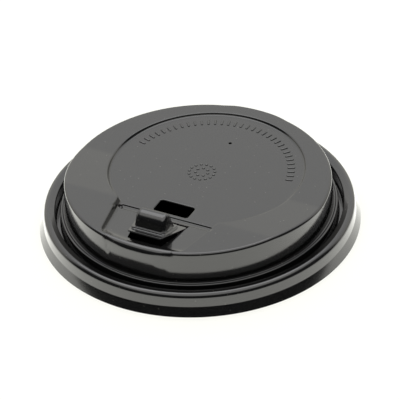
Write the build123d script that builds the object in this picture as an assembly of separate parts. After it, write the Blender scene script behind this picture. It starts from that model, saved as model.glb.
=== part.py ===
"""Coffee cup lid with a lift-back sip flap, as one thermoformed sheet with a cut flap.

The lid is a thin plastic sheet drawn over a tool: a hook-over rim that grips the cup's rolled
brim, a plug groove inside it, a dome with a sloping top, a round recess, and a sip channel
that runs out to the drinking lip. The flap is cut from the channel floor. It carries a hollow
knob, turns on a crease, and locks open when the knob is pushed into the slot behind the crease.

Frame: +Z up, origin at the centre of the rim's lower edge, the drinking side towards -Y, and
the left and right halves alike. All sizes are in millimetres.
"""
from build123d import *
from math import cos, radians, sin, sqrt, tan
import os

# Sheet
wall = 0.45                 # sheet thickness after forming
knob_wall = 0.40            # the knob is drawn thinner than the rest

# Rim, from its lower edge up and in
rim_r = 47.0                # lower edge of the flared skirt
skirt_flare = 0.95
skirt_height = 2.8
grip_lean = 0.7             # the outer wall above the skirt closes by this much
grip_height = 3.85
crown_width = 3.25          # from the shoulder in to the groove
crown_drop = 0.55           # the crown slopes down towards the groove
shoulder_chamfer = 0.5
groove_width = 1.6          # plug groove
groove_floor_z = 2.0
ledge_rise = 0.5            # from the groove's outer side up to the ledge at the dome's foot
ledge_width = 1.15

# Dome
dome_height = 7.9           # from the ledge to the rear plateau
dome_lean = 0.55            # its wall closes by this much
dome_edge_fillet = 0.8
ramp_rise = 1.65            # from the rear plateau up to the front one, where the lip is
ramp_back_y = 1.3           # the ramp between them starts here
ramp_length = 20.3
ramp_blend_r = 8.0          # the ramp runs into both plateaus with this radius

# Round recess
recess_y = 5.8
recess_margin = 4.45        # from the recess's floor to the dome's rear edge
recess_depth = 0.7          # below the rear plateau
recess_draft = 19.0         # degrees

# Sip channel and drinking lip
lip_margin = 1.9            # from the lip's crest to the dome's front edge
lip_to_hinge = 15.25
channel_behind_hinge = 2.95 # the channel's side walls leave the recess here
channel_side_angle = 10.6   # degrees, each side wall closes towards the lip
channel_draft = 12.0        # degrees
channel_rise = 2.5          # degrees, slope of the channel floor
channel_corner_r = 3.5
front_wall_gap = 0.3        # the channel's rounded corners end this far past the lip's crest
recess_overlap = 4.0        # the channel's cutter reaches this far into the recess
lip_sweep_r = 59.0          # radius of the lip seen from above
lip_sweep = 60.0            # degrees either side of the centre line, past the lip's ends
lip_rise_length = 3.7       # length over which the floor turns up to the lip
lip_half_width = 10.85      # the lip is bevelled between two small ribs
lip_bevel_drop = 1.35
lip_rib_width = 0.5
lip_rib_height = 0.22

# Crease and flap
crease_behind_hinge = 2.85  # from the hinge to the crease's rear edge
crease_width = 2.2
crease_margin = 1.0         # from the crease's ends to the channel's side walls
crease_depth = 0.5
crease_slope = 0.5          # length of each sloping side of the crease
hinge_gap = 0.08            # clearance behind the flap's rounded end
flap_gap = 0.15             # cut around the flap
hole_length = 11.3
hole_front_half = 5.45
hole_hinge_half = 7.95
hole_corner_r = 0.6
flap_lift = 12.0            # degrees, how far the flap stands open in its modelled place

# Knob, measured along the flap from the hinge and up from the flap
knob_back = 1.6
knob_reach = 9.1            # to the knob's front face
knob_height = 5.8
knob_top_back = 5.7
knob_top_drop = 0.8         # the top falls by this much to the front face
knob_half = 4.85
knob_side_draft = 5.0       # degrees
knob_nose_fillet = 1.5      # between the top and the front face
knob_edge_fillet = 0.6
knob_step = 0.5             # width of the raised step round the knob's foot
knob_step_height = 0.5

# Lock slot and vent
slot_gap = 0.25             # from the knob's front face, folded back, to the slot's far side
slot_length = 5.3
slot_side_gap = 0.65        # clearance at each side of the knob
slot_corner_r = 0.8
vent_margin = 13.55         # from the vent to the recess's rear side
vent_r = 0.5

# Derived radii and heights, from the rim's lower edge up and in
skirt_r = rim_r - skirt_flare
shoulder_r = skirt_r - grip_lean
shoulder_z = skirt_height + grip_height
groove_outer_r = shoulder_r - crown_width
groove_lip_z = shoulder_z - crown_drop
groove_inner_r = groove_outer_r - groove_width
ledge_z = groove_lip_z + ledge_rise
dome_foot_r = groove_inner_r - ledge_width
dome_r = dome_foot_r - dome_lean
back_z = ledge_z + dome_height
front_z = back_z + ramp_rise
ramp_front_y = ramp_back_y - ramp_length

# Derived places on the top
floor_z = back_z - recess_depth
recess_r = dome_r - recess_y - recess_margin
recess_top_r = recess_r + (front_z - floor_z) * tan(radians(recess_draft))
lip_y = lip_margin - dome_r
hinge_y = lip_y + lip_to_hinge
hinge_z = floor_z           # the flap turns about the upper side of the sheet
channel_back_y = hinge_y + channel_behind_hinge
channel_back_half = sqrt(recess_top_r**2 - (recess_y - channel_back_y)**2)
slot_far_y = hinge_y + knob_reach + slot_gap
slot_y = slot_far_y - slot_length / 2
slot_half = knob_half + slot_side_gap
vent_y = recess_y + recess_r - vent_margin
flap_length = hole_length - flap_gap
top_clear = 10.0            # the cutters reach this far above the lid
big = 2 * rim_r


def half_section(depth):
    """Half-section of the lid's upper surface, in radius and height, moved inward by depth."""
    below = skirt_height
    tall = front_z + top_clear
    with BuildSketch(Plane.XZ) as sk:
        with BuildLine():
            Polyline(
                (-big, -below),
                (rim_r + skirt_flare * below / skirt_height, -below),
                (skirt_r, skirt_height),
                (shoulder_r, shoulder_z),
                (groove_outer_r, groove_lip_z),
                (groove_outer_r, groove_floor_z),
                (groove_inner_r, groove_floor_z),
                (groove_inner_r, ledge_z),
                (dome_foot_r, ledge_z),
                (dome_r, front_z),
                (dome_r, tall),
                (-big, tall),
                close=True,
            )
        make_face()
        if depth:
            offset(amount=-depth, kind=Kind.INTERSECTION, mode=Mode.REPLACE)
        else:
            shoulder = sk.vertices().sort_by_distance((shoulder_r, shoulder_z))[0]
            chamfer(shoulder, shoulder_chamfer)
        with Locations((big / 2, tall / 2)):
            Rectangle(big, 4 * big, mode=Mode.INTERSECT)
    return sk.sketch


def roof(depth):
    """Everything below the sloping top, moved down by depth, as a prism along X."""
    with BuildSketch(Plane.YZ) as sk:
        with BuildLine():
            Polyline(
                (-big, -big),
                (big, -big),
                (big, back_z - depth),
                (ramp_back_y, back_z - depth),
                (ramp_front_y, front_z - depth),
                (-big, front_z - depth),
                close=True,
            )
        make_face()
        fillet(sk.vertices().filter_by(lambda v: abs(v.X) < big / 2), ramp_blend_r)
    return extrude(sk.sketch, amount=big, both=True)


def dome_edges(body):
    """The edges where the sloping top meets the dome's wall."""

    def on_rim(edge):
        points = [edge.position_at(share) for share in (0, 0.5, 1)]
        radii = [sqrt(point.X**2 + point.Y**2) for point in points]
        return points[1].Z > floor_z and min(radii) > dome_r - dome_edge_fillet

    return body.edges().filter_by(on_rim)


def recess(depth):
    """Cutter for the round recess, moved outward and down by depth."""
    slope = tan(radians(recess_draft))
    low_r = recess_r + depth / cos(radians(recess_draft)) - depth * slope
    top_r = low_r + top_clear * slope
    cone = Cone(low_r, top_r, top_clear, align=(Align.CENTER, Align.CENTER, Align.MIN))
    return Pos(0, recess_y, floor_z - depth) * cone


def channel_half(y):
    """Half-width of the sip channel at the top of its walls."""
    return channel_back_half - (channel_back_y - y) * tan(radians(channel_side_angle))


def above_floor(depth):
    """The space above the channel floor, which turns up to the lip, lowered by depth."""
    turn_y = lip_y + lip_rise_length
    turn_z = floor_z + (hinge_y - turn_y) * tan(radians(channel_rise))
    with BuildSketch(Plane.YZ) as sk:
        with BuildLine():
            Polyline((recess_y, floor_z), (hinge_y, floor_z), (turn_y, turn_z))
            direction = (-cos(radians(channel_rise)), sin(radians(channel_rise)))
            TangentArc((turn_y, turn_z), (lip_y, front_z), tangent=direction)
            Polyline(
                (lip_y, front_z),
                (lip_y, front_z + top_clear),
                (recess_y, front_z + top_clear),
                (recess_y, floor_z),
            )
        make_face()
        if depth:
            offset(amount=depth, kind=Kind.INTERSECTION, mode=Mode.REPLACE)
    far_axis = Axis((0, lip_y + lip_sweep_r, 0), (0, 0, 1))
    return revolve(sk.sketch, far_axis, lip_sweep) + revolve(sk.sketch, far_axis, -lip_sweep)


def channel(depth):
    """Cutter for the sip channel, moved outward and down by depth."""
    back_y = channel_back_y + recess_overlap
    far_y = lip_y + lip_sweep_r
    front_r = lip_sweep_r + front_wall_gap
    slope = tan(radians(channel_side_angle))
    side_x = channel_half(far_y)
    run = sqrt(front_r**2 * (1 + slope**2) - side_x**2)
    corner_y = far_y - (side_x * slope + run) / (1 + slope**2)
    corner_x = channel_half(corner_y)
    back_x = channel_half(back_y)
    with BuildSketch(Plane.XY.offset(front_z)) as sk:
        with BuildLine():
            Polyline((-corner_x, corner_y), (-back_x, back_y), (back_x, back_y), (corner_x, corner_y))
            ThreePointArc((corner_x, corner_y), (0, far_y - front_r), (-corner_x, corner_y))
        make_face()
        fillet(sk.vertices().group_by(Axis.Y)[0], channel_corner_r)
        if depth:
            offset(amount=depth / cos(radians(channel_draft)), kind=Kind.ARC, mode=Mode.REPLACE)
    low = extrude(sk.sketch, amount=-(front_z - floor_z + 2 * wall), taper=channel_draft)
    high = extrude(sk.sketch, amount=top_clear)
    return (low + high) & above_floor(depth)


def lip_bevel(depth):
    """Cutter for the sloping band in front of the lip, with a small rib left at each end."""
    slope = lip_bevel_drop / lip_margin
    reach = 2 * lip_margin
    far_axis = Axis((0, lip_y + lip_sweep_r, 0), (0, 0, 1))

    def wedge(lift, inner_x, outer_x):
        top_z = front_z - depth + lift
        with BuildSketch(Plane.YZ) as sk:
            with BuildLine():
                Polyline(
                    (lip_y, top_z),
                    (lip_y - reach, top_z - reach * slope),
                    (lip_y - reach, top_z + reach),
                    (lip_y, top_z + reach),
                    close=True,
                )
            make_face()
        ring = revolve(sk.sketch, far_axis, lip_sweep) + revolve(sk.sketch, far_axis, -lip_sweep)
        width = outer_x - inner_x
        slab = Box(width, big, big)
        both = Pos(inner_x + width / 2, 0, 0) * slab + Pos(-inner_x - width / 2, 0, 0) * slab
        return ring & both

    rib_start = lip_half_width - lip_rib_width / 2
    rib_end = lip_half_width + lip_rib_width / 2
    if depth:
        return wedge(0, 0, rib_end + depth)
    return wedge(0, 0, rib_start) + wedge(lip_rib_height, rib_start, rib_end)


def crease(depth):
    """Cutter for the groove across the channel, behind the flap, moved outward by depth."""
    back_y = hinge_y + crease_behind_hinge
    front_y = back_y - crease_width
    low_z = floor_z - crease_depth
    with BuildSketch(Plane.YZ) as sk:
        with BuildLine():
            Polyline(
                (back_y, floor_z),
                (back_y - crease_slope, low_z),
                (front_y + crease_slope, low_z),
                (front_y, floor_z),
                (front_y, floor_z + wall),
                (back_y, floor_z + wall),
                close=True,
            )
        make_face()
        if depth:
            offset(amount=depth, kind=Kind.INTERSECTION, mode=Mode.REPLACE)
    half = channel_half(hinge_y) - crease_margin
    return extrude(sk.sketch, amount=half + depth, both=True)


def form(depth):
    """The space under the lid's upper surface, with that surface moved inward by depth.

    The edges are rounded on the upper surface only: the sheet thins where it is drawn over them.
    """
    body = revolve(half_section(depth), Axis.Z) & roof(depth)
    if not depth:
        body = fillet(dome_edges(body), dome_edge_fillet)
    body -= recess(depth)
    body -= lip_bevel(depth)
    body -= channel(depth)
    body -= crease(depth)
    return body


def flap_outline(gap, back, front):
    """Outline of the flap in its own frame, or of its hole, with gap taken off each side."""
    taper = (hole_hinge_half - hole_front_half) / hole_length
    corners = [(hole_hinge_half - gap - taper * -y, y) for y in (back, front)]
    outline = [*corners, *[(-x, y) for x, y in reversed(corners)]]
    with BuildSketch() as sk:
        with BuildLine():
            Polyline(*outline, close=True)
        make_face()
        fillet(sk.vertices().group_by(Axis.Y)[0], hole_corner_r - gap)
    return sk.sketch


def lid_shell():
    """The lid as one sheet, open below, with its hole, lock slot and vent."""
    lid = form(0) - form(wall)
    lid &= Pos(0, 0, big) * Box(2 * big, 2 * big, 2 * big)
    through = 3 * wall
    hole = extrude(flap_outline(0, wall + hinge_gap, -hole_length), amount=through, both=True)
    slot = extrude(RectangleRounded(2 * slot_half, slot_length, slot_corner_r), through, both=True)
    lid -= Pos(0, hinge_y, hinge_z) * Rot(-channel_rise, 0, 0) * hole
    lid -= Pos(0, slot_y, floor_z - wall / 2) * slot
    lid -= Pos(0, vent_y, floor_z) * Cylinder(vent_r, 2 * through)
    return lid


def knob(inset):
    """The knob in the flap's frame, with its surface moved inward by inset."""
    nose_z = knob_height - knob_top_drop
    low = -wall
    with BuildSketch(Plane.YZ) as sk:
        with BuildLine():
            Polyline(
                (-knob_reach, low),
                (-knob_back, low),
                (-knob_back, 0),
                (-knob_top_back, knob_height),
                (-knob_reach, nose_z),
                close=True,
            )
        make_face()
        if inset:
            offset(amount=-inset, kind=Kind.INTERSECTION, mode=Mode.REPLACE)
        nose = sk.vertices().sort_by_distance((inset - knob_reach, nose_z - inset))[0]
        fillet(nose, knob_nose_fillet - inset)
    side = extrude(sk.sketch, amount=big, both=True)
    draft = tan(radians(knob_side_draft))
    half = knob_half - inset - draft * low
    with BuildSketch(Plane.XY.offset(low)) as plan:
        Rectangle(2 * half, big)
    solid = side & extrude(plan.sketch, amount=knob_height + 2 * wall, taper=knob_side_draft)
    if inset:
        return solid
    edges = solid.edges().filter_by(lambda edge: edge.position_at(0.5).Z > wall)
    return fillet(edges, knob_edge_fillet)


def sip_flap():
    """The flap in its own frame: hinge axis along X through the origin, flap towards -Y."""
    plate = extrude(flap_outline(flap_gap, 0, -flap_length), amount=-wall)
    bend_length = 2 * (hole_hinge_half - flap_gap)
    bend = Rot(0, 90, 0) * Cylinder(wall, bend_length)
    bend &= Pos(0, wall / 2, -wall / 2) * Box(bend_length, wall, wall)
    step_front = knob_reach + knob_step
    step_back = knob_back - knob_step
    step_plan = Pos(0, -(step_front + step_back) / 2) * RectangleRounded(
        2 * (knob_half + knob_step), step_front - step_back, hole_corner_r
    )
    inside_plan = offset(step_plan, amount=-knob_wall)
    body = plate + bend + extrude(step_plan, amount=knob_step_height) + knob(0)
    body -= extrude(inside_plan, amount=knob_step_height - knob_wall)
    body -= extrude(inside_plan, amount=-2 * wall)
    body -= knob(knob_wall)
    return body


os.makedirs("parts", exist_ok=True)
lid = lid_shell()
flap = Pos(0, hinge_y, hinge_z) * Rot(-channel_rise - flap_lift, 0, 0) * sip_flap()
export_step(lid, "parts/lid_shell.step")
export_step(flap, "parts/sip_flap.step")
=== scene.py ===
"""Looks of a black thermoformed coffee cup lid with a lift-back sip flap.

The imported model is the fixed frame. The lid's skin and the flap are drawn here from their sections,
with every edge rounded as a formed sheet rounds it, and stand for the plain solids.
Shapes are worked out in millimetres, and the meshes are in metres.
"""
from functools import partial
from math import ceil, cos, degrees, hypot, pi, radians, sin, sqrt, tan
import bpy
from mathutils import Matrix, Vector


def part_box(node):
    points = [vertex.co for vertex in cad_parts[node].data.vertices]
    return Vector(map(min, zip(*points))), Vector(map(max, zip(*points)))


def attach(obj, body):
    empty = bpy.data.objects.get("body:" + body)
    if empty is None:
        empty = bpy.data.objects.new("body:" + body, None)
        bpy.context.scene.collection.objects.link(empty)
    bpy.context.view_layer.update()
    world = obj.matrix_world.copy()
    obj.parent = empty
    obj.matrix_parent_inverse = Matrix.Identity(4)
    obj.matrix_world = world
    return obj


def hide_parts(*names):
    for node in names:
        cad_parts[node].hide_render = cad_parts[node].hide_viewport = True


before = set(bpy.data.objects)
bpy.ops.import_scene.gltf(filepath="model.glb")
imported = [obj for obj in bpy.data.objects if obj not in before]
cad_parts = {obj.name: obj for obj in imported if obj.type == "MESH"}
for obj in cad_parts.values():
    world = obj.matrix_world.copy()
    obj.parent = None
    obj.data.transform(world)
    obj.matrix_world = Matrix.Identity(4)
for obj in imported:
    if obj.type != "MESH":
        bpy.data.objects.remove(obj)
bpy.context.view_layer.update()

from types import SimpleNamespace

import bpy
import numpy as np
from bpy.props import FloatProperty, IntProperty, PointerProperty, StringProperty
from mathutils import Matrix, Vector
from mathutils.geometry import delaunay_2d_cdt
from mathutils.kdtree import KDTree

bl_info = {
    "name": "Cup lid looks",
    "version": (1, 0, 0),
    "blender": (4, 5, 0),
    "location": "View3D > Sidebar > Cup lid",
    "description": "Dresses the packed cup lid in glossy black polystyrene and sets its studio",
    "category": "Object",
}

MM = 0.001
LID_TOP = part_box("lid_shell")[1]
HALVINGS = 34  # steps of a search along a ray
SHARP = 0.02  # radius in millimetres of a corner that is left sharp


def length(name, description, millimetres):
    """A length property, given in millimetres."""
    return FloatProperty(
        name=name, description=description, default=millimetres * MM, unit="LENGTH", precision=5
    )


def angle(name, description, value):
    """An angle property, given in degrees."""
    return FloatProperty(
        name=name, description=description, default=radians(value), subtype="ANGLE"
    )


class LidSizes(bpy.types.PropertyGroup):
    """Sizes of the formed sheet."""

    wall: length("Sheet", "Thickness of the formed sheet", 0.45)
    rim_r: length("Rim radius", "Lower edge of the flared skirt", LID_TOP[0] / MM)
    skirt_r: length("Skirt radius", "Its radius at its upper end", 45.75)
    skirt_z: length("Skirt height", "Its upper end", 2.8)
    shoulder_r: length("Shoulder radius", "Outer edge of the crown", 45.35)
    shoulder_z: length("Shoulder height", "Outer edge of the crown", 7.2)
    groove_outer_r: length("Groove outside", "Outer side of the plug groove", 42.1)
    groove_inner_r: length("Groove inside", "Inner side of the plug groove", 40.5)
    groove_lip_z: length("Crown height", "Inner edge of the crown", 6.1)
    groove_floor_z: length("Groove floor", "Its height", 2.0)
    ledge_z: length("Ledge height", "Ledge at the dome's foot", 6.6)
    ledge_dip: length("Ledge dip", "Its fall towards the dome", 0.4)
    foot_r: length("Dome foot", "Its radius at the ledge", 39.35)
    dome_r: length("Dome top", "Its radius at the front plateau", 38.8)
    back_z: length("Rear plateau", "Its height", 14.5)
    front_z: length("Front plateau", "Its height", LID_TOP[2] / MM)
    ramp_back_y: length("Ramp start", "Its rear end", 1.3)
    ramp_length: length("Ramp length", "From the rear plateau to the front one", 20.3)
    ramp_blend: length("Ramp blend", "Half the length of each bend", 0.6)
    floor_z: length("Recess floor", "Its height", 13.8)
    recess_y: length("Recess place", "Its centre", 5.8)
    recess_r: length("Recess radius", "Its radius at the floor", 28.55)
    recess_draft: angle("Recess draft", "Lean of its wall", 19.0)
    lip_y: length("Lip place", "Its crest on the centre line", -36.9)
    lip_sweep: length("Lip sweep", "Its radius seen from above", 59.0)
    turn_length: length("Lip rise", "Where the floor turns up to it", 3.7)
    hinge_y: length("Hinge place", "Hinge line of the flap", -21.65)
    channel_half: length("Channel half-width", "At the hinge line", 15.625)
    channel_angle: angle("Channel sides", "Each side closes towards the lip", 10.6)
    channel_draft: angle("Channel draft", "Lean of its walls", 12.0)
    channel_rise: angle("Channel rise", "Slope of its floor", 2.5)
    channel_corner: length("Channel corners", "Radius of the corners beside the lip", 3.5)
    lip_round: length("Lip rounding", "From its crest down to the dome's wall", 1.9)
    band_half: length("Band half-width", "Half the width of the rounding", 10.6)
    band_edge: length("Band edge", "Where the band meets the dome's wall", 0.1)
    rib_width: length("Rib width", "Rib at each end of the band", 0.5)
    rib_height: length("Rib height", "Height of the rib above the band", 0.22)
    crease_back: length("Crease back", "Its rear edge behind the hinge line", 2.85)
    crease_width: length("Crease width", "Its width at the floor", 2.2)
    crease_rear_lean: FloatProperty(
        name="Crease rear lean", description="Run of the rear wall for its depth", default=0.4
    )
    crease_depth: length("Crease depth", "Its depth", 0.5)
    crease_half: length("Crease half-length", "Half its length", 14.8)
    dent_r: length("Dent radius", "Dent at each end of the crease", 0.75)
    dome_edge: length("Dome edge", "Rounding of the dome's edge", 0.8)
    top_edge: length("Top edges", "Edges of the recess and the channel", 0.28)
    foot_edge: length("Foot edges", "Where a wall meets a floor", 0.4)
    slot_y: length("Slot place", "Centre of the lock slot", -14.95)
    slot_half: length("Slot half-width", "Half its width", 5.5)
    slot_length: length("Slot length", "Its length", 5.3)
    slot_corner: length("Slot corners", "Radius of its corners", 0.8)
    slot_edge: length("Slot edge", "Rounding of its upper edge", 0.45)
    vent_y: length("Vent place", "Its centre", 20.8)
    vent_r: length("Vent radius", "Its radius", 0.5)
    turns: IntProperty(name="Segments", description="Segments round the rim", default=360)


class FlapSizes(bpy.types.PropertyGroup):
    """Sizes of the cut flap and its knob, from the hinge and up from the flap."""

    lift: angle("Lift", "How far it stands open as modelled", 12.0)
    plate_length: length("Length", "From the hinge to its free end", 11.55)
    hole_length: length("Hole length", "From the hinge to its front end", 11.7)
    hinge_half: length("Hole at hinge", "Half its width there", 7.95)
    front_half: length("Hole at front", "Half its width there", 5.45)
    corner: length("Corners", "Radius of its front corners", 0.6)
    gap: length("Gap", "Cut around the flap", 0.15)
    hinge_gap: length("Hinge gap", "Clearance behind its rounded end", 0.08)
    knob_back: length("Knob back", "Its rear foot", 1.6)
    knob_reach: length("Knob reach", "Foot of its front face", 9.25)
    knob_height: length("Knob height", "Rear edge of its top above the flap", 5.76)
    knob_top_back: length("Knob top", "Rear edge of the top", 5.7)
    knob_top_drop: length("Knob top drop", "Fall to the front face", 1.15)
    knob_half: length("Knob half-width", "Half its width at mid-foot", 4.9)
    knob_draft: angle("Knob draft", "Lean of its sides", 1.5)
    knob_front_draft: angle("Front draft", "Lean of the front face", 4.0)
    knob_taper: angle("Knob taper", "Each side closes towards the free end", 1.2)
    knob_nose: length("Knob nose", "Between the top and the front face", 1.8)
    knob_edge: length("Knob edges", "Rounding of its other edges", 1.25)
    step_width: length("Step width", "Raised step round its foot", 0.5)
    step_height: length("Step height", "Height of that step", 0.6)


class ReliefSizes(bpy.types.PropertyGroup):
    """Sizes of the plain raised pattern in the recess."""

    ring_r: length("Bar circle", "About the recess's centre", 24.6)
    first: angle("First bar", "Its place on that circle", 12.0)
    last: angle("Last bar", "Its place on that circle", 168.0)
    bars: IntProperty(name="Bars", description="Bars along the circle", default=34)
    bar_length: length("Bar length", "Towards the centre", 2.3)
    bar_width: length("Bar width", "Width of a bar", 0.75)
    dot_ring_x: length("Dot ring X", "Its centre", -1.0)
    dot_ring_y: length("Dot ring Y", "Its centre", 4.5)
    dot_ring_r: length("Dot ring radius", "Its radius", 3.8)
    dots: IntProperty(name="Dots", description="Dots round the ring", default=15)
    dot_width: length("Dot width", "Width of a dot", 0.95)
    height: length("Relief height", "Height of the bars and dots", 0.26)


class LidLook(bpy.types.PropertyGroup):
    """Colours, as sRGB hex values."""

    sheet: StringProperty(name="Sheet", description="Black polystyrene", default="101010")
    floor: StringProperty(name="Floor", description="White sweep under the lid", default="f2f2f1")


def in_mm(group):
    """A group's values as plain numbers: lengths in millimetres, angles in radians."""
    values = {}
    for name in group.__annotations__:
        scale = 1 / MM if getattr(group.bl_rna.properties[name], "unit", "") == "LENGTH" else 1
        values[name] = getattr(group, name) * scale
    return SimpleNamespace(**values)


def linear(hex_colour):
    """An sRGB hex value as linear RGBA."""
    channels = [int(hex_colour[i:i + 2], 16) / 255 for i in (0, 2, 4)]
    return (*[c / 12.92 if c <= 0.04045 else ((c + 0.055) / 1.055) ** 2.4 for c in channels], 1.0)


def add_node(tree, kind, inputs=None, **settings):
    """Adds a node, sets its attributes, and sets its inputs or links them to sockets or nodes."""
    node = tree.nodes.new("ShaderNode" + kind)
    for name, value in settings.items():
        setattr(node, name, value)
    for name, value in (inputs or {}).items():
        if isinstance(value, bpy.types.Node):
            value = next(socket for socket in value.outputs if socket.enabled)
        if isinstance(value, bpy.types.NodeSocket):
            tree.links.new(value, node.inputs[name])
        else:
            node.inputs[name].default_value = value
    return node


def node_adder(owner):
    """Clears the nodes of a material or world, and gives the function that adds nodes to it."""
    owner.use_nodes = True
    owner.node_tree.nodes.clear()
    return partial(add_node, owner.node_tree)


def add_object(name, data):
    """A new object, linked to the scene."""
    item = bpy.data.objects.new(name, data)
    bpy.context.scene.collection.objects.link(item)
    return item


def columns(*values):
    """Points from their columns, where a single value fills its column."""
    return np.stack(np.broadcast_arrays(*values), axis=1)


def unit(run):
    """A direction in a plane, of length one."""
    return run / hypot(*run)


def towards(start, end):
    """The direction from one point in a plane to another."""
    return unit(np.subtract(end, start))


# Signed gaps: each is a distance in millimetres, below zero inside the shape.

def both(a, b, radius):
    """Where two shapes overlap, with the edge between them rounded."""
    corner = np.hypot(np.maximum(a + radius, 0), np.maximum(b + radius, 0))
    return np.minimum(-radius, np.maximum(a, b)) + corner


def either(a, b, radius):
    """Two shapes joined, with the inner corner between them filled."""
    return -both(-a, -b, radius)


def symmetric(back_half, back, front_half, front):
    """Corners of an outline that is alike left and right, anticlockwise."""
    return [(-back_half, back), (-front_half, front), (front_half, front), (back_half, back)]


def convex_gap(x, y, corners, radius):
    """Gap to a convex outline with rounded corners. Corners run anticlockwise."""
    inner = []
    for i, corner in enumerate(corners):
        before = towards(corner, corners[i - 1])
        after = towards(corner, corners[(i + 1) % len(corners)])
        half = 0.5 * np.arccos(np.clip(before @ after, -1, 1))
        middle = unit(before + after)
        inner.append(corner + middle * radius / sin(half))
    gap = np.full(np.shape(x), 1e9)
    inside = np.full(np.shape(x), True)
    for i, start in enumerate(inner):
        run = inner[(i + 1) % len(inner)] - start
        px, py = x - start[0], y - start[1]
        share = np.clip((px * run[0] + py * run[1]) / (run @ run), 0, 1)
        gap = np.minimum(gap, np.hypot(px - share * run[0], py - share * run[1]))
        inside &= run[0] * py - run[1] * px >= 0
    return np.where(inside, -gap, gap) - radius


def rounded(points, radii, closed=False, step=12.0):
    """A polyline with rounded corners, as points and their left-hand normals."""
    count = len(points)
    points = [np.array(p, float) for p in points]
    spots, normals = [], []
    for i, point in enumerate(points):
        if not closed and i in (0, count - 1):
            run = points[1] - points[0] if i == 0 else points[-1] - points[-2]
            spots.append(point)
            normals.append(unit(np.array((-run[1], run[0]))))
            continue
        into, out = towards(points[i - 1], point), towards(point, points[(i + 1) % count])
        turn = np.arctan2(into[0] * out[1] - into[1] * out[0], into @ out)
        reach = radii[i] * abs(tan(turn / 2))
        steps = max(1, ceil(abs(degrees(turn)) / step))
        side = np.array((-into[1], into[0]))
        start = point - into * reach
        middle = start + side * radii[i] * np.sign(turn)
        for k in range(steps + 1):
            part = turn * k / steps
            normal = cos(part) * side - sin(part) * into
            spots.append(middle - normal * radii[i] * np.sign(turn))
            normals.append(normal)
    return np.array(spots), np.array(normals)


def search(count, low, high, outside):
    """Values just below the one where each of a count of tests turns true."""
    low, high = np.full(count, low), np.full(count, high)
    for _ in range(HALVINGS):
        middle = (low + high) / 2
        over = outside(middle)
        low, high = np.where(over, low, middle), np.where(over, middle, high)
    return low


def solve(start, direction, reach, gap, level):
    """Where rays from inside the shape first reach a level of its gap."""
    runs = search(len(start), 0.0, reach, lambda run: gap(start + direction * run[:, None]) > level)
    return start + direction * runs[:, None]


def slopes(points, gap, step=0.004):
    """Unit normals of the gap's level surfaces."""
    normal = columns(*[gap(points + shift) - gap(points - shift) for shift in step * np.eye(3)])
    return normal / np.maximum(np.linalg.norm(normal, axis=1, keepdims=True), 1e-9)


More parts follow.
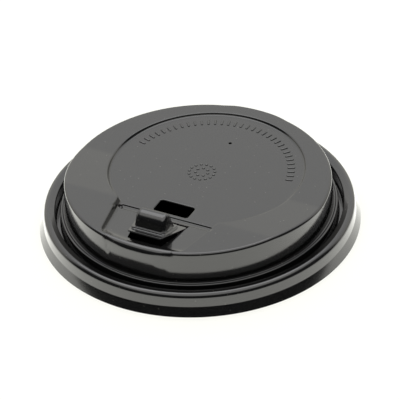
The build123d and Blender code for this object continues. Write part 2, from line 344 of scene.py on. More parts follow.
class LidForm:
    """The lid's upper surface as a signed gap, from its sizes."""

    # Values that only finish an edge. The channel's outline runs on behind the hinge, inside the
    # recess, and a little past the lip's crest.
    band_round, band_top_round, rib_round, beside_round = 0.2, 0.1, 0.12, 0.3
    crease_end_round, crease_floor_round, crease_round = 0.2, 0.18, 0.14
    end_lean, crease_end_lean = radians(14), 0.4
    channel_back_y, lip_over, corner_halvings = -10.0, 0.3, 50

    def __init__(self, size, flap):
        self.size = size
        self.far_y = size.lip_y + size.lip_sweep
        self.turn_y = size.lip_y + size.turn_length
        self.turn_z = size.floor_z + (size.hinge_y - self.turn_y) * tan(size.channel_rise)
        end = np.array((size.lip_y - self.turn_y, size.front_z - self.turn_z))
        up = np.array((sin(size.channel_rise), cos(size.channel_rise)))
        self.turn_r = end @ end / (2 * end @ up)
        self.turn_centre = np.array((self.turn_y, self.turn_z)) + self.turn_r * up
        self.side_out = np.array((cos(size.channel_angle), -sin(size.channel_angle)))
        self.front_r = size.lip_sweep + self.lip_over
        # The channel's corner radius touches both its side and its swept front.
        low, high = size.lip_y, size.hinge_y
        for _ in range(self.corner_halvings):
            middle_y = (low + high) / 2
            centre = self.corner_centre(middle_y)
            if hypot(centre[0], centre[1] - self.far_y) > self.front_r - size.channel_corner:
                low = middle_y
            else:
                high = middle_y
        self.corner = centre
        self.front_out = unit(centre - (0, self.far_y))
        taper = (flap.hinge_half - flap.front_half) / flap.hole_length
        back = size.wall + flap.hinge_gap
        back_half = flap.hinge_half + taper * back
        front = size.hinge_y - flap.hole_length
        self.hole = symmetric(back_half, size.hinge_y + back, flap.front_half, front)
        self.hole_radii = (SHARP, flap.corner, flap.corner, SHARP)
        near, far = size.slot_y - size.slot_length / 2, size.slot_y + size.slot_length / 2
        self.slot = symmetric(size.slot_half, far, size.slot_half, near)

    def half_width(self, y):
        """Half-width of the channel at the top of its walls."""
        return self.size.channel_half + (y - self.size.hinge_y) * tan(self.size.channel_angle)

    def corner_centre(self, y):
        """Centre of the channel's corner radius, if its tangent point on the side is at y."""
        return np.array((self.half_width(y), y)) - self.size.channel_corner * self.side_out

    def roof_z(self, y):
        """Height of the plateaus and the ramp, with the ramp's slope."""
        size = self.size
        blend = size.ramp_blend

        def bend(run):
            eased = (np.clip(run, -blend, blend) + blend) ** 2 / (4 * blend)
            return eased + np.maximum(run - blend, 0)

        def lean(run):
            return (np.clip(run, -blend, blend) + blend) / (2 * blend)

        run = size.ramp_back_y - y
        slope = (size.front_z - size.back_z) / size.ramp_length
        height = size.back_z + slope * (bend(run) - bend(run - size.ramp_length))
        return height, slope * (lean(run) - lean(run - size.ramp_length))

    def holes_gap(self, x, y):
        """Gap to the nearest of the drinking hole, the slot and the vent, seen from above."""
        size, corner = self.size, 0.3
        return np.minimum.reduce([
            convex_gap(x, y, self.hole, corner),
            convex_gap(x, y, self.slot, size.slot_corner),
            np.hypot(x, y - size.vent_y) - size.vent_r,
        ])

    def plan(self, x, y):
        """What the gap needs of a place seen from above."""
        size = self.size
        wide = np.abs(x)
        far = np.hypot(x, y - self.far_y)
        side = (wide - self.half_width(y)) * cos(size.channel_angle)
        px, py = wide - self.corner[0], y - self.corner[1]
        n, m = self.side_out, self.front_out
        scale = n[0] * m[1] - n[1] * m[0]
        in_corner = ((px * m[1] - py * m[0]) / scale > 0) & ((n[0] * py - n[1] * px) / scale > 0)
        walls = np.maximum(side, far - self.front_r)
        walls = np.where(in_corner, np.hypot(px, py) - size.channel_corner, walls)
        roof, lean = self.roof_z(y)
        return SimpleNamespace(
            wide=wide, y=y, r=np.hypot(x, y), past=far - size.lip_sweep,
            along=self.far_y - far, channel=np.maximum(walls, y - self.channel_back_y), roof=roof,
            roof_scale=1 / np.sqrt(1 + lean**2), recess=np.hypot(x, y - size.recess_y),
            slot=convex_gap(x, y, self.slot, size.slot_corner),
        )

    def gap(self, plan, z, punched=True):
        """The signed gap at a height over a place, with or without the slot."""
        size = self.size
        lean = (size.foot_r - size.dome_r) / (size.front_z - size.ledge_z)
        cone = (plan.r - size.foot_r + (z - size.ledge_z) * lean) / hypot(1, lean)

        low_z = size.front_z - size.lip_round
        over_lip = size.lip_round - np.hypot(np.maximum(plan.past, 0), np.maximum(z - low_z, 0))
        open_end = (z - size.front_z) * tan(self.end_lean)
        band = both(over_lip, plan.wide - size.band_half - open_end, self.band_round)
        rib_end = size.band_half + size.rib_width
        over = both(over_lip + size.rib_height, plan.wide - rib_end - open_end, self.rib_round)
        top = both((z - plan.roof) * plan.roof_scale, -np.minimum(band, over), self.band_top_round)
        half_band = size.band_half * 0.5
        beside = np.clip((plan.wide - half_band) / half_band, 0, 1)
        body = both(top, cone, size.band_edge + (size.dome_edge - size.band_edge) * beside)

        rise = tan(size.channel_rise)
        slope = np.maximum(size.hinge_y - plan.along, 0) * rise
        over_floor = z - size.floor_z - slope
        cy, cz = self.turn_centre
        turned = self.turn_r - np.hypot(plan.along - cy, z - cz)
        over_floor = np.where(plan.along < self.turn_y, turned, over_floor)
        recess_lean = tan(size.recess_draft)
        recess = plan.recess - size.recess_r - (z - size.floor_z) * recess_lean
        channel = plan.channel + (size.front_z - z) * tan(size.channel_draft)
        recess, channel = recess * cos(size.recess_draft), channel * cos(size.channel_draft)
        sides = either(recess, channel, self.beside_round)
        body = both(body, -both(-over_floor, sides, size.foot_edge), size.top_edge)

        depth = size.floor_z - z
        back_y = size.hinge_y + size.crease_back
        behind = plan.y - back_y + depth * size.crease_rear_lean
        before = back_y - size.crease_width + depth - plan.y
        ends = plan.wide - size.crease_half + depth * self.crease_end_lean
        across = np.maximum(behind / hypot(1, size.crease_rear_lean), before * sqrt(0.5))
        crease = both(across, ends, self.crease_end_round)
        crease = both(depth - size.crease_depth, crease, self.crease_floor_round)
        across, along = plan.wide - size.crease_half, plan.y - back_y + size.crease_width / 2
        dent = np.sqrt(across**2 + along**2 + depth**2) - size.dent_r
        body = both(body, -np.minimum(crease, dent), self.crease_round)
        if punched:
            body = both(body, -plan.slot, size.slot_edge)
        return body

    def gap_at(self, points, punched=True):
        """The signed gap at points."""
        x, y, z = points.T
        return self.gap(self.plan(x, y), z, punched)


class Sheet:
    """Collects vertices, normals and faces of a piece."""

    def __init__(self):
        self.spots, self.normals, self.faces, self.flat = [], [], [], []
        self.count = 0

    def add(self, spots, normals):
        """Adds vertices, and gives their numbers."""
        self.spots.append(np.asarray(spots, float))
        self.normals.append(np.asarray(normals, float))
        self.count += len(spots)
        return np.arange(self.count - len(spots), self.count)

    def bridge(self, *rows, flat=False, flip=False):
        """Joins closed rows of vertices with quads, each to the next."""
        for lower, upper in zip(rows, rows[1:]):
            quads = np.stack([lower, np.roll(lower, -1), np.roll(upper, -1), upper], axis=1)
            self.take(quads, flat, flip)

    def take(self, faces, flat=False, flip=False):
        """Takes faces of one size."""
        faces = faces[:, ::-1] if flip else faces
        self.faces += faces.tolist()
        self.flat += [flat] * len(faces)

    def piece(self, name, material, place=Matrix()):
        """The finished object, in metres."""
        spots = np.concatenate(self.spots) * MM
        mesh = bpy.data.meshes.new(name)
        mesh.from_pydata(spots.tolist(), [], self.faces)
        mesh.polygons.foreach_set("use_smooth", [True] * len(self.faces))
        normals = np.concatenate(self.normals)
        corners = np.concatenate(self.faces)
        of_face = np.repeat(np.arange(len(self.faces)), [len(face) for face in self.faces])
        face_normals = np.empty(len(self.faces) * 3)
        mesh.polygons.foreach_get("normal", face_normals)
        face_normals = face_normals.reshape(-1, 3)
        flat = np.array(self.flat)[of_face]
        shown = np.where(flat[:, None], face_normals[of_face], normals[corners])
        mesh.normals_split_custom_set(shown.tolist())
        mesh.transform(place)
        mesh.materials.append(material)
        return add_object(name, mesh)


def fill_plan(loops, rows, keep, spacing, box, outside=None):
    """Triangulates a plan: loops are kept, open rows are followed, and a grid fills the rest.

    Faces are left out where the outside test is true.
    """
    row_height, clearance, closeness = 0.866 * spacing, 0.55 * spacing, 1e-4
    spots, edges = [], []
    for loop in loops:
        start = len(spots)
        spots += [tuple(p) for p in loop]
        edges += [(start + i, start + (i + 1) % len(loop)) for i in range(len(loop))]
    for row in rows:
        follows = False
        for point, ok in zip(row, keep(*row.T)):
            if ok:
                if follows:
                    edges.append((len(spots) - 1, len(spots)))
                spots.append(tuple(point))
            follows = ok
    near = KDTree(len(spots))
    for i, point in enumerate(spots):
        near.insert((*point, 0), i)
    near.balance()
    low_x, low_y, high_x, high_y = box
    y, shift, grid = low_y, 0, []
    while y < high_y:
        grid += [(x, y) for x in np.arange(low_x + shift, high_x, spacing)]
        y, shift = y + row_height, spacing / 2 - shift
    grid = np.array(grid)
    for point in grid[keep(*grid.T)]:
        if near.find((*point, 0))[2] > clearance:
            spots.append(tuple(point))
    points = [Vector(p) for p in spots]
    found, _, faces, origin, _, _ = delaunay_2d_cdt(points, edges, [], 0, closeness)
    found, faces = np.array([tuple(p) for p in found]), np.array([tuple(f) for f in faces])
    if outside:
        middles = found[faces].mean(axis=1)
        faces = faces[~outside(*middles.T)]
    place = {source: number for number, sources in enumerate(origin) for source in sources}
    numbers, start = [], 0
    for loop in loops:
        numbers.append(np.array([place[start + i] for i in range(len(loop))]))
        start += len(loop)
    return found, faces, numbers


def closed_outline(corners, radii, step):
    """A closed outline with rounded corners, and its long sides divided."""
    ring, _ = rounded(corners, radii, closed=True)
    spots = []
    for here, there in zip(ring, np.roll(ring, -1, axis=0)):
        parts = max(1, ceil(hypot(*(there - here)) / step))
        spots += [here + (there - here) * k / parts for k in range(parts)]
    return np.array(spots)


# Places of rows of points beside an edge, in millimetres or as shares of a wall's run.
RECESS_SHARES = (-1.6, -0.9, -0.35, 0.1, 0.5, 0.8, 1.0, 1.25, 1.7, 2.6)
CHANNEL_ROWS = (-0.95, -0.7, -0.5, -0.35, -0.2, -0.08, 0.05, 0.18, 0.35)
LIP_ROWS = (-3.6, -3.1, -2.6, -2.1, -1.7, -1.3, -0.95, -0.65, -0.42, -0.26, -0.15, -0.06, 0.02,
            0.1, 0.2, 0.34, 0.6)
LIP_ROWS_BELOW = (-3.4, -2.4, -1.6, -0.9, -0.4, 0.0, 0.3)
RIB_ROWS = (-0.35, -0.2, -0.1, 0.0, 0.1, 0.24, 0.38, 0.5, 0.6, 0.72, 0.95)
CREASE_ROWS = (0.3, 0.12, 0.03, -0.08, -0.25, -0.42, -0.52, -0.66)
CREASE_END_ROWS = (-0.8, -0.65, -0.5, -0.35, -0.2, -0.08, 0.04, 0.2, 0.36, 0.52)
SLOT_ROWS = (0.05, 0.12, 0.2, 0.3, 0.42)


def lid_rows(form, fine):
    """Rows that follow the recess, channel, lip, band, crease and slot, seen from above."""
    size = form.size
    rows = []
    step, out = (0.5, 0) if fine else (0.8, size.wall)

    def spaced(low, high):
        return np.linspace(low, high, max(2, ceil(abs(high - low) / step) + 1))

    wall_most, in_channel, bend_points = 1.2, -1.2, 20 if fine else 8
    turn = np.linspace(0, 2 * pi, int(2 * pi * size.recess_r / step) + 1) + pi / 2
    for share in RECESS_SHARES:
        roof_z, _ = form.roof_z(size.recess_y + size.recess_r * np.sin(turn))
        height = np.minimum(roof_z - size.floor_z, wall_most)
        radius = size.recess_r + out + share * np.maximum(height * tan(size.recess_draft), out)
        row = columns(radius * np.cos(turn), size.recess_y + radius * np.sin(turn))
        channel = form.plan(*row.T).channel
        for part in np.split(np.arange(len(row)), np.flatnonzero(channel < in_channel)):
            part = part[channel[part] >= in_channel]
            if len(part) > 1:
                rows.append(row[part])

    start_angle = np.arctan2(form.side_out[1], form.side_out[0])
    end_angle = np.arctan2(form.front_out[1], form.front_out[0])
    tangent_y = (form.corner + size.channel_corner * form.side_out)[1]
    behind_hinge = 6.0
    for offset in CHANNEL_ROWS:
        y = spaced(size.hinge_y + behind_hinge, tangent_y)
        side = columns(form.half_width(y), y) + (offset + out) * form.side_out
        turn = np.linspace(start_angle, end_angle, bend_points)[1:]
        radius = size.channel_corner + offset + out
        bend = form.corner + radius * columns(np.cos(turn), np.sin(turn))
        row = np.concatenate([side, bend])
        rows += [row, row * (-1, 1)]

    lip_half, past_wall = 12.6, 0.6
    for past in LIP_ROWS if fine else LIP_ROWS_BELOW:
        x = spaced(-lip_half, lip_half)
        row = columns(x, form.far_y - np.sqrt((size.lip_sweep + past)**2 - x**2))
        rows.append(row[form.plan(*row.T).channel < past_wall])

    def upright(half, offsets, y):
        """Rows along Y on both sides."""
        for offset in offsets:
            for side in (-1, 1):
                rows.append(columns(side * (half + offset), y))

    fine_step, past_end, past_front, past_back = 0.2, 0.5, 0.3, 0.35
    rib_from, rib_to = -36.3, -34.9
    back = size.hinge_y + size.crease_back
    front = back - size.crease_width
    if fine:
        upright(size.band_half, RIB_ROWS, np.arange(rib_from, rib_to, fine_step))
        marks = [back + d for d in CREASE_ROWS] + [front - d for d in reversed(CREASE_ROWS)]
    else:
        marks = [back, back - past_end, front + past_end, front]
    for y in marks:
        rows.append(columns(spaced(-size.crease_half - past_end, size.crease_half + past_end), y))
    if fine:
        y = np.arange(front - past_front, back + past_back, fine_step)
        upright(size.crease_half, CREASE_END_ROWS, y)
        for reach in SLOT_ROWS:
            corners = [(x + np.sign(x) * reach, y + np.sign(y - size.slot_y) * reach)
                       for x, y in form.slot]
            ring = closed_outline(corners, [size.slot_corner + reach] * 4, step=0.6)
            rows.append(np.concatenate([ring, ring[:1]]))
    return rows


def rim_profile(size, depth):
    """The rim's section from the skirt's lower edge to the dome's wall, as radius and height."""
    lean = (size.foot_r - size.dome_r) / (size.front_z - size.ledge_z)
    top_z = size.ledge_z + 1.0
    corners = [
        (size.rim_r, 0.0), (size.skirt_r, size.skirt_z), (size.shoulder_r, size.shoulder_z),
        (size.groove_outer_r, size.groove_lip_z), (size.groove_outer_r, size.groove_floor_z),
        (size.groove_inner_r, size.groove_floor_z), (size.groove_inner_r, size.ledge_z),
        (size.foot_r, size.ledge_z - size.ledge_dip), (size.foot_r - lean, top_z),
    ]
    radii = [0, 0.8, 1.5, 0.45, 0.45, 0.45, 0.45, 0.3, 0]
    if depth:
        moved, kept = [], []
        for i in range(1, len(corners) - 1):
            before = towards(corners[i - 1], corners[i])
            after = towards(corners[i], corners[i + 1])
            turn = before[0] * after[1] - before[1] * after[0]
            inward = unit(np.array((before[1] + after[1], -before[0] - after[0])))
            share = inward @ np.array((before[1], -before[0]))
            moved.append(np.array(corners[i]) - inward * depth / share)
            kept.append(max(radii[i] - depth, 0.12) if turn > 0 else radii[i] + depth)
        first = np.subtract(corners[1], corners[0])
        last = np.subtract(corners[-1], corners[-2])
        start = (corners[0][0] - depth * hypot(*first) / first[1], 0.0)
        end = (corners[-1][0] - depth * hypot(*last) / last[1], top_z)
        corners, radii = [start, *moved, end], [0, *kept, 0]
    return rounded(corners, radii)


def rim_turns(size):
    """Directions of the rim's columns, which stand closer together at the two ribs."""
    front = radians(-90)
    rib_from, rib_to, rib_step, apart = radians(15.6), radians(17.6), radians(0.16), 0.008
    even = np.linspace(-pi, pi, size.turns, endpoint=False) + front
    off_front = np.abs((even - front + pi) % (2 * pi) - pi)
    even = even[(off_front < rib_from - apart) | (off_front > rib_to + apart)]
    dense = np.arange(rib_from, rib_to, rib_step)
    return np.sort(np.concatenate([even, front + dense, front - dense]))


def lid_holes(form):
    """Outlines of the drinking hole, the slot and the vent, seen from above."""
    size = form.size
    hole = closed_outline(form.hole, form.hole_radii, step=0.8)
    slot = closed_outline(form.slot, [size.slot_corner] * 4, step=0.6)
    turn = np.linspace(0, 2 * pi, 20)[:-1]
    vent = columns(size.vent_r * np.cos(turn), size.vent_y + size.vent_r * np.sin(turn))
    return [hole, slot, vent]


def lid_skin(form, size, material):
    """The whole lid: rim, dome, top and underside, with the cut edges between them."""
    sheet = Sheet()
    turn = rim_turns(size)
    cosines, sines = np.cos(turn), np.sin(turn)
    apart, from_ring, in_hole = 0.05, 0.12, -0.01
    just_in, just_under = 0.004, 0.003
    ring_r = size.dome_r - size.dome_edge - apart
    wall_z = size.ledge_z + 1.0
    reach, below_all, above_all = 3.0, 5.0, 18.0

    def at(radius, z):
        return columns(radius * cosines, radius * sines, z)

    def keep(x, y):
        return (np.hypot(x, y) < ring_r - from_ring) & (form.holes_gap(x, y) > apart)

    def outside(x, y):
        return form.holes_gap(x, y) < in_hole

    plan = form.plan(size.dome_r * cosines, size.dome_r * sines)
    on_band = plan.wide < size.band_half + size.rib_width
    least_root = 0.3
    drop = size.lip_round - np.sqrt(np.maximum(size.lip_round**2 - plan.past**2, least_root))
    arc_z = plan.roof - np.where(on_band, drop, 0) - size.dome_edge
    loops = {}
    for depth in (0.0, size.wall):
        top = depth == 0
        facing = 1 if top else -1
        outline, out = rim_profile(size, depth)
        rows = []
        for (radius, z), (nr, nz) in zip(outline, -out):
            rows.append(sheet.add(at(radius, z), facing * at(nr, nz)))

        def gap(points):
            return form.gap_at(points, punched=False)

        def cast(start, direction):
            spots = solve(start, direction, reach, gap, -depth)
            return sheet.add(spots, facing * slopes(spots, gap))

        outward = at(1.0, 0.0)
        for share in (0.3, 0.55, 0.75, 0.88, 1.0):
            rows.append(cast(at(ring_r, wall_z + share * (arc_z - wall_z)), outward))
        for part in np.radians(np.linspace(0, 90, 10)[1:-1]):
            rows.append(cast(at(ring_r, arc_z), outward * cos(part) + np.array((0, 0, sin(part)))))
        sheet.bridge(*rows, flip=not top)

        outlines = [at(ring_r, 0.0)[:, :2], *lid_holes(form)]
        spacing, box = 0.9 if top else 1.4, (-ring_r, -ring_r, ring_r, ring_r)
        guides = lid_rows(form, top)
        found, faces, numbers = fill_plan(outlines, guides, keep, spacing, box, outside)
        plan = form.plan(*found.T)
        plan.slot[numbers[2]] = just_in
        heights = search(
            len(found), below_all, above_all, lambda z: form.gap(plan, z, punched=top) > -depth
        )
        under = columns(*found.T, heights - just_under)
        normals = slopes(under, lambda p: form.gap_at(p, punched=top))
        patch = sheet.add(columns(*found.T, heights), facing * normals)
        sheet.take(patch[faces], flip=not top)
        sheet.bridge(rows[-1], patch[numbers[0]], flip=not top)
        loops[depth] = [rows[0], *[patch[n] for n in numbers[1:]]]
    for upper, lower in zip(loops[0.0][1:], loops[size.wall][1:]):
        sheet.bridge(upper, lower, flat=True)
    sheet.bridge(loops[size.wall][0], loops[0.0][0], flat=True)
    return sheet.piece("formed_lid", material)


class FlapForm:
    """The flap's upper surface as a signed gap, in the flap's own frame."""

    # Roundings that only finish an edge, the room outside the cut, and the share of the knob's
    # edge rounding that its rear edge has.
    step_corner, plate_corner = 0.7, 0.45
    step_round, plate_round, step_foot, knob_foot = 0.18, 0.12, 0.12, 0.16
    cut_in, back_share = 0.01, 0.8

    def __init__(self, size):
        self.size = size
        half = size.knob_half + size.step_width
        back, front = -size.knob_back + size.step_width, -size.knob_reach - size.step_width
        self.step = symmetric(half, back, half, front)
        taper = (size.hinge_half - size.front_half) / size.hole_length
        wide = size.hinge_half - size.gap
        narrow = wide - taper * size.plate_length
        self.outline = symmetric(wide, 0.0, narrow, -size.plate_length)

    def gap_at(self, points, trimmed=True):
        """The signed gap at points, with the cut edge rounded or left out."""
        size = self.size
        x, y, z = points.T
        step = convex_gap(x, y, self.step, self.step_corner)
        step = both(z - size.step_height, step, self.step_round)
        middle_y = (size.knob_back + size.knob_reach) / 2
        half = size.knob_half + (y + middle_y) * tan(size.knob_taper)
        side = (np.abs(x) - half + z * tan(size.knob_draft)) * cos(size.knob_draft)
        nose = -y - size.knob_reach + z * tan(size.knob_front_draft)
        run = size.knob_top_back - size.knob_back
        back = ((y + size.knob_back) * size.knob_height + z * run) / hypot(size.knob_height, run)
        fall = size.knob_top_drop / (size.knob_reach - size.knob_top_back)
        top = (z - size.knob_height - (y + size.knob_top_back) * fall) / hypot(1, fall)
        knob = both(both(top, nose, size.knob_nose), back, self.back_share * size.knob_edge)
        knob = both(knob, side, size.knob_edge)
        cut = convex_gap(x, y, self.outline, self.plate_corner) - self.cut_in
        plate = both(z, cut, self.plate_round) if trimmed else z
        return either(either(plate, step, self.step_foot), knob, self.knob_foot)


# Places of rows of points beside the knob's edges, in millimetres.
KNOB_SIDE_ROWS = (0.9, 0.7, 0.45, 0.3, 0.18, 0.06, -0.06, -0.18, -0.3, -0.45, -0.6, -0.75, -0.9,
                  -1.05, -1.25, -1.5, -1.8, -2.2, -2.7, -3.3, -4.0)
KNOB_NOSE_ROWS = (0.8, 0.62, 0.5, 0.4, 0.3, 0.2, 0.12, 0.05, 0.0, -0.03, -0.06, -0.09, -0.13, -0.2,
                  -0.3, -0.42, -0.58, -0.76, -0.98, -1.25, -1.55, -1.9)
KNOB_TOP_ROWS = (1.1, 0.7, 0.45, 0.25, 0.05, -0.15, -0.35, -0.6, -1.0, -1.5, -2.0, -2.5, -3.0)
KNOB_BACK_ROWS = (0.6, 0.35, 0.2, 0.05, -0.08, -0.2, -0.35, -0.45, -0.55, -0.8)
FLAP_BOX = (-9.0, -12.5, 9.0, 0.5)


def flap_skin(form, size, wall, material, place):
    """The flap with its hollow knob and its rolled hinge end."""
    sheet = Sheet()
    radii = (SHARP, form.plate_corner, form.plate_corner, SHARP)
    inset_radii = (SHARP, 0.4, 0.4, SHARP)
    step, spacing, from_edge = 0.5, 0.6, -0.02
    loop = closed_outline(form.outline, radii, step)
    at_hinge = (loop[:, 1] > -0.01).astype(float)
    x_marks = [side * (size.knob_half + d) for d in KNOB_SIDE_ROWS for side in (-1, 1)]
    x_marks = np.array(sorted(x_marks))
    y_marks = [-size.knob_reach - d for d in KNOB_NOSE_ROWS]
    y_marks += [-size.knob_top_back - d for d in KNOB_TOP_ROWS]
    y_marks += [-size.knob_back - d for d in KNOB_BACK_ROWS]
    y_marks = np.array(sorted(y_marks))
    below_all, reach = -4.0, 12.0

    def keep(x, y):
        return convex_gap(x, y, form.outline, form.plate_corner) < from_edge

    ends = []
    for depth in (0.0, wall):
        top = depth == 0

        def gap(points):
            return form.gap_at(points, trimmed=top)

        pick = slice(None, None, 1 if top else 2)
        xs, ys = x_marks[pick], y_marks[pick]
        rows = [columns(xs, y) for y in ys] + [columns(x, ys) for x in xs]
        (wide, back), (narrow, end) = form.outline[3], form.outline[2]
        for inset in (0.04, 0.08, 0.13) if top else ():
            corners = symmetric(wide - inset, back, narrow - inset, end + inset)
            rows.append(closed_outline(corners, inset_radii, step))
        found, faces, numbers = fill_plan([loop], rows, keep, spacing, FLAP_BOX)
        spots = solve(columns(*found.T, below_all), np.array((0, 0, 1)), reach, gap, -depth)
        patch = sheet.add(spots, slopes(spots, gap) * (1 if top else -1))
        sheet.take(patch[faces], flip=not top)
        ends.append(patch[numbers[0]])
    rings = [ends[0]]
    for part in np.radians((15, 30, 45, 60, 75)):
        spots = columns(loop[:, 0], loop[:, 1] + cos(part) * at_hinge * wall, -sin(part) * wall)
        rings.append(sheet.add(spots, np.broadcast_to((0, 1, 0), spots.shape)))
    rings.append(ends[1])
    sheet.bridge(*rings, flat=True, flip=True)
    return sheet.piece("cut_flap", material, place)


def relief_skin(size, lid, material):
    """Low rounded bars and dots on the recess's floor."""
    marks = []
    for turn in np.linspace(size.first, size.last, size.bars):
        spot = (size.ring_r * cos(turn), lid.recess_y + size.ring_r * sin(turn))
        marks.append((spot, turn, size.bar_length / 2, size.bar_width / 2))
    for ring_r, dots in ((size.dot_ring_r, size.dots), (size.dot_ring_r / 2, size.dots // 2)):
        for turn in np.linspace(0, 2 * pi, dots, endpoint=False):
            spot = (size.dot_ring_x + ring_r * cos(turn), size.dot_ring_y + ring_r * sin(turn))
            marks.append((spot, turn, size.dot_width / 2, size.dot_width / 2))
    sheet = Sheet()
    around = np.linspace(0, 2 * pi, 17)[:-1]
    out = columns(np.cos(around), np.sin(around))
    for spot, turn, long_half, half in marks:
        shift = columns(np.sign(out[:, 0]) * (long_half - half), 0)
        spin = np.array(((cos(turn), sin(turn)), (-sin(turn), cos(turn))))
        rows = []
        for part in (-15, 0, 18, 36, 54, 72, 90):
            low, high = cos(radians(part)), sin(radians(part))
            flat = (out * half * max(low, SHARP) + shift) @ spin + spot
            slant = unit(np.array((size.height * low, half * high)))
            normals = columns(*((out * slant[0]) @ spin).T, slant[1])
            rows.append(sheet.add(columns(*flat.T, lid.floor_z + size.height * high), normals))
        sheet.bridge(*rows)
        sheet.take(rows[-1][None, :])
    return sheet.piece("raised_pattern", material)


def polystyrene_thermoformed(hex_colour):
    """Black high-impact polystyrene sheet, vacuum formed.

    The sheet is glossy on its show side, with faint waves left where it cooled on the tool, and a
    few specks of dust, which cling to it. That gives soft-edged but clear reflections.
    """
    wave, grain, speck = 9 * MM, 0.8 * MM, 2.2 * MM
    wave_height, grain_height = 0.12 * MM, 0.01 * MM
    material = bpy.data.materials.new("polystyrene_thermoformed")
    add = node_adder(material)
    place = add("TexCoord").outputs["Object"]
    waves = add("TexNoise", {"Vector": place, "Scale": 1 / wave, "Detail": 1.0})
    peel = add("TexNoise", {"Vector": place, "Scale": 1 / grain, "Detail": 2.0})
    specks = add("TexVoronoi", {"Vector": place, "Scale": 1 / speck})
    dust = add(
        "MapRange",
        {"Value": specks, "From Min": 0.035, "From Max": 0.075, "To Min": 0.5, "To Max": 0.0},
        interpolation_type="SMOOTHSTEP",
    )
    tones = {"Factor": dust, "A": linear(hex_colour), "B": linear("77756f")}
    colour = add("Mix", tones, data_type="RGBA")
    gloss = add("MapRange", {"Value": waves, "To Min": 0.1, "To Max": 0.16})
    wavy = add("Bump", {"Height": waves, "Strength": 0.35, "Distance": wave_height})
    fine = add("Bump", {"Height": peel, "Strength": 0.25, "Distance": grain_height, "Normal": wavy})
    shader = add(
        "BsdfPrincipled", {"Base Color": colour, "IOR": 1.59, "Roughness": gloss, "Normal": fine}
    )
    add("OutputMaterial", {"Surface": shader})
    return material


def shared_material(context):
    """The one sheet material, made once."""
    found = bpy.data.materials.get("polystyrene_thermoformed")
    return found or polystyrene_thermoformed(context.scene.lid_look.sheet)


def white_sweep(hex_colour):
    """Painted matt white table: it reads as white paper to the camera, glows to glossy rays as a
    painted reflection, and keeps a soft shadow.

    Inside the lid's rim the table is painted near black, as painted shade, so that the holes look
    dark.
    """
    tooth, tooth_height = 0.5 * MM, 0.02 * MM
    # Where the painted shade under the lid ends.
    shade_r, shade_edge = 46.0 * MM, 46.5 * MM
    near_r, far_r = 70 * MM, 130 * MM
    material = bpy.data.materials.new("white_sweep")
    add = node_adder(material)
    place = add("TexCoord").outputs["Object"]
    paper = add("TexNoise", {"Vector": place, "Scale": 1 / tooth})
    bump = add("Bump", {"Height": paper, "Strength": 0.05, "Distance": tooth_height})
    reach = add("VectorMath", {"Vector": place}, operation="LENGTH")
    clear = add("MapRange", {"Value": reach, "From Min": shade_r, "From Max": shade_edge})
    # Painted shade: near black inside the lid's rim, where the lid shades the table.
    tones = {"Factor": clear, "A": linear("0c0c0c"), "B": linear(hex_colour)}
    paint = add("BsdfDiffuse", {"Color": add("Mix", tones, data_type="RGBA"), "Normal": bump})
    rays = add("LightPath")
    glossy = rays.outputs["Is Glossy Ray"]

    def work(operation, *values):
        return add("Math", dict(enumerate(values)), operation=operation)

    # Painted reflection: glossy rays see the table glow, brightest beside the lid and fading to
    # nearly dark far off.
    shown = work("MAXIMUM", work("MULTIPLY", rays.outputs["Is Camera Ray"], 0.75), glossy)
    reflected_glow_fall = add(
        "MapRange",
        {"Value": reach, "From Min": near_r, "From Max": far_r, "To Min": 1.45, "To Max": -0.92},
        interpolation_type="SMOOTHSTEP",
    )
    strength = work("MULTIPLY_ADD", glossy, reflected_glow_fall, 1.0)
    glow = add("Emission", {"Color": linear("fffff8"), "Strength": strength})
    mix = add("MixShader", {0: work("MULTIPLY", shown, clear), 1: paint, 2: glow})
    add("OutputMaterial", {"Surface": mix})
    return material


class LID_OT_skin(bpy.types.Operator):
    """Draws the formed lid and lets it stand for the plain solid"""

    bl_idname = "lid.skin"
    bl_label = "Formed lid"

    def execute(self, context):
        size, flap = in_mm(context.scene.lid_sizes), in_mm(context.scene.flap_sizes)
        piece = lid_skin(LidForm(size, flap), size, shared_material(context))
        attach(piece, "lid")
        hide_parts("lid_shell")
        return {"FINISHED"}


class LID_OT_flap(bpy.types.Operator):
    """Draws the sip flap with its lock knob"""

    bl_idname = "lid.flap"
    bl_label = "Sip flap"

    def execute(self, context):
        size, flap = in_mm(context.scene.lid_sizes), in_mm(context.scene.flap_sizes)
        turn = Matrix.Rotation(-(size.channel_rise + flap.lift), 4, "X")
        hinge = Vector((0, size.hinge_y, size.floor_z)) * MM
        place = Matrix.Translation(hinge) @ turn
        piece = flap_skin(FlapForm(flap), flap, size.wall, shared_material(context), place)
        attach(piece, "flap")
        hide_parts("sip_flap")
        return {"FINISHED"}


class LID_OT_relief(bpy.types.Operator):
    """Raises a plain pattern of bars and dots in the recess"""

    bl_idname = "lid.relief"
    bl_label = "Raised pattern"

    def execute(self, context):
        size, lid = in_mm(context.scene.relief_sizes), in_mm(context.scene.lid_sizes)
        piece = relief_skin(size, lid, shared_material(context))
        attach(piece, "lid")
        return {"FINISHED"}


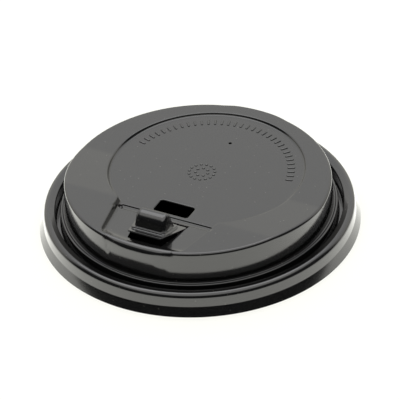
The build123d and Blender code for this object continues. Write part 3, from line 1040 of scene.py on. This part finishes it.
def studio_world(camera_side):
    """A white room: pale far side, bright ceiling, and its dark half behind the camera."""
    world = bpy.data.worlds.new("studio")
    bpy.context.scene.world = world
    add = node_adder(world)
    place = add("TexCoord").outputs["Generated"]
    height = add("SeparateXYZ", {"Vector": place}).outputs["Z"]
    behind = add("VectorMath", {0: place, 1: (*camera_side, 0)}, operation="DOT_PRODUCT")

    def ramp(stops):
        node = add("ValToRGB", {"Fac": height})
        elements = node.color_ramp.elements
        while len(elements) < len(stops):
            elements.new(0.5)
        for element, (spot, tone) in zip(elements, stops):
            element.position = spot
            element.color = linear(tone)
        return node

    far = ramp([
        (0.0, "bdbcb5"), (0.3, "d3d2cc"), (0.6, "e1e1e0"), (0.8, "e8eaec"), (1.0, "ffffff"),
    ])
    near = ramp([
        (0.0, "222324"), (0.1, "222324"), (0.7, "37393c"), (0.8, "f6f5f0"), (1.0, "ffffff"),
    ])
    share = add(
        "MapRange", {"Value": behind, "From Min": -0.4, "From Max": -0.1},
        interpolation_type="SMOOTHSTEP",
    )
    room = add("Mix", {"Factor": share, "A": far, "B": near}, data_type="RGBA")
    lit = add("Background", {"Color": room, "Strength": 2.15})
    paper = add("Background", {"Color": (1, 1, 1, 1), "Strength": 1.0})
    camera_ray = add("LightPath").outputs["Is Camera Ray"]
    mix = add("MixShader", {0: camera_ray, 1: lit, 2: paper})
    add("OutputWorld", {"Surface": mix})


class LID_OT_stage(bpy.types.Operator):
    """Sets the table, the studio and the camera"""

    bl_idname = "lid.stage"
    bl_label = "Studio"

    def execute(self, context):
        azimuth, elevation, roll = radians(29.12), radians(35.985), radians(3.311)
        # The picture is 400 pixels wide, and the lid's origin is seen at this pixel.
        width, seen = 400.0, (200.15, 219.24)
        distance, focal = 1.0, 3415.46
        right = Vector((cos(azimuth), sin(azimuth), 0))
        level = cos(elevation)
        ahead = Vector((-sin(azimuth) * level, cos(azimuth) * level, -sin(elevation)))
        up = right.cross(ahead)
        roll_cos, roll_sin = cos(roll), sin(roll)
        axes = Matrix((right * roll_cos - up * roll_sin, right * roll_sin + up * roll_cos, ahead))
        aim = Vector(((seen[0] - width / 2) / focal, (width / 2 - seen[1]) / focal, 1)).normalized()
        swing = Vector((0, 0, 1)).rotation_difference(aim).to_matrix()
        x_axis, y_axis, forward = swing @ axes
        data = bpy.data.cameras.new("camera")
        data.sensor_width = 36.0
        data.lens = focal * data.sensor_width / width
        data.clip_start, data.clip_end = 0.05, 20.0
        camera = add_object("camera", data)
        turn = Matrix((x_axis, y_axis, -forward)).transposed().to_4x4()
        camera.matrix_world = Matrix.Translation(-distance * ahead) @ turn
        context.scene.camera = camera

        floor = bpy.data.meshes.new("table")
        count, reach = 64, 3.0
        turns = [2 * pi * i / count for i in range(count)]
        ring = [(reach * cos(turn), reach * sin(turn), 0) for turn in turns]
        floor.from_pydata(ring, [], [list(range(count))])
        floor.materials.append(white_sweep(context.scene.lid_look.floor))
        table = add_object("table", floor)

        studio_world((sin(azimuth), -cos(azimuth)))
        lamp = bpy.data.lights.new("softbox", "AREA")
        lamp.shape = "RECTANGLE"
        lamp.size, lamp.size_y, lamp.energy = 1.0, 0.7, 4.0
        box = add_object("softbox", lamp)
        box.location = (-0.27, 0.36, 1.1)
        box.rotation_euler = box.location.to_track_quat("Z", "Y").to_euler()
        context.scene.view_settings.view_transform = "Standard"
        return {"FINISHED"}


class LID_PT_panel(bpy.types.Panel):
    """Lists the pieces and their sizes"""

    bl_idname = "LID_PT_panel"
    bl_label = "Cup lid"
    bl_space_type = "VIEW_3D"
    bl_region_type = "UI"
    bl_category = "Cup lid"

    def draw(self, context):
        for operator in OPERATORS:
            self.layout.operator(operator.bl_idname)
        for group in (getattr(context.scene, name) for name in GROUPS):
            for name in group.__annotations__:
                self.layout.prop(group, name)


OPERATORS = (LID_OT_skin, LID_OT_flap, LID_OT_relief, LID_OT_stage)
GROUPS = {
    "lid_look": LidLook, "lid_sizes": LidSizes,
    "flap_sizes": FlapSizes, "relief_sizes": ReliefSizes,
}
CLASSES = (*GROUPS.values(), *OPERATORS, LID_PT_panel)


def register():
    for cls in CLASSES:
        bpy.utils.register_class(cls)
    for name, group in GROUPS.items():
        setattr(bpy.types.Scene, name, PointerProperty(type=group))


def unregister():
    for name in GROUPS:
        delattr(bpy.types.Scene, name)
    for cls in reversed(CLASSES):
        bpy.utils.unregister_class(cls)


def main():
    register()
    bpy.ops.lid.skin()
    bpy.ops.lid.flap()
    bpy.ops.lid.relief()
    bpy.ops.lid.stage()


if __name__ == "__main__":
    main()
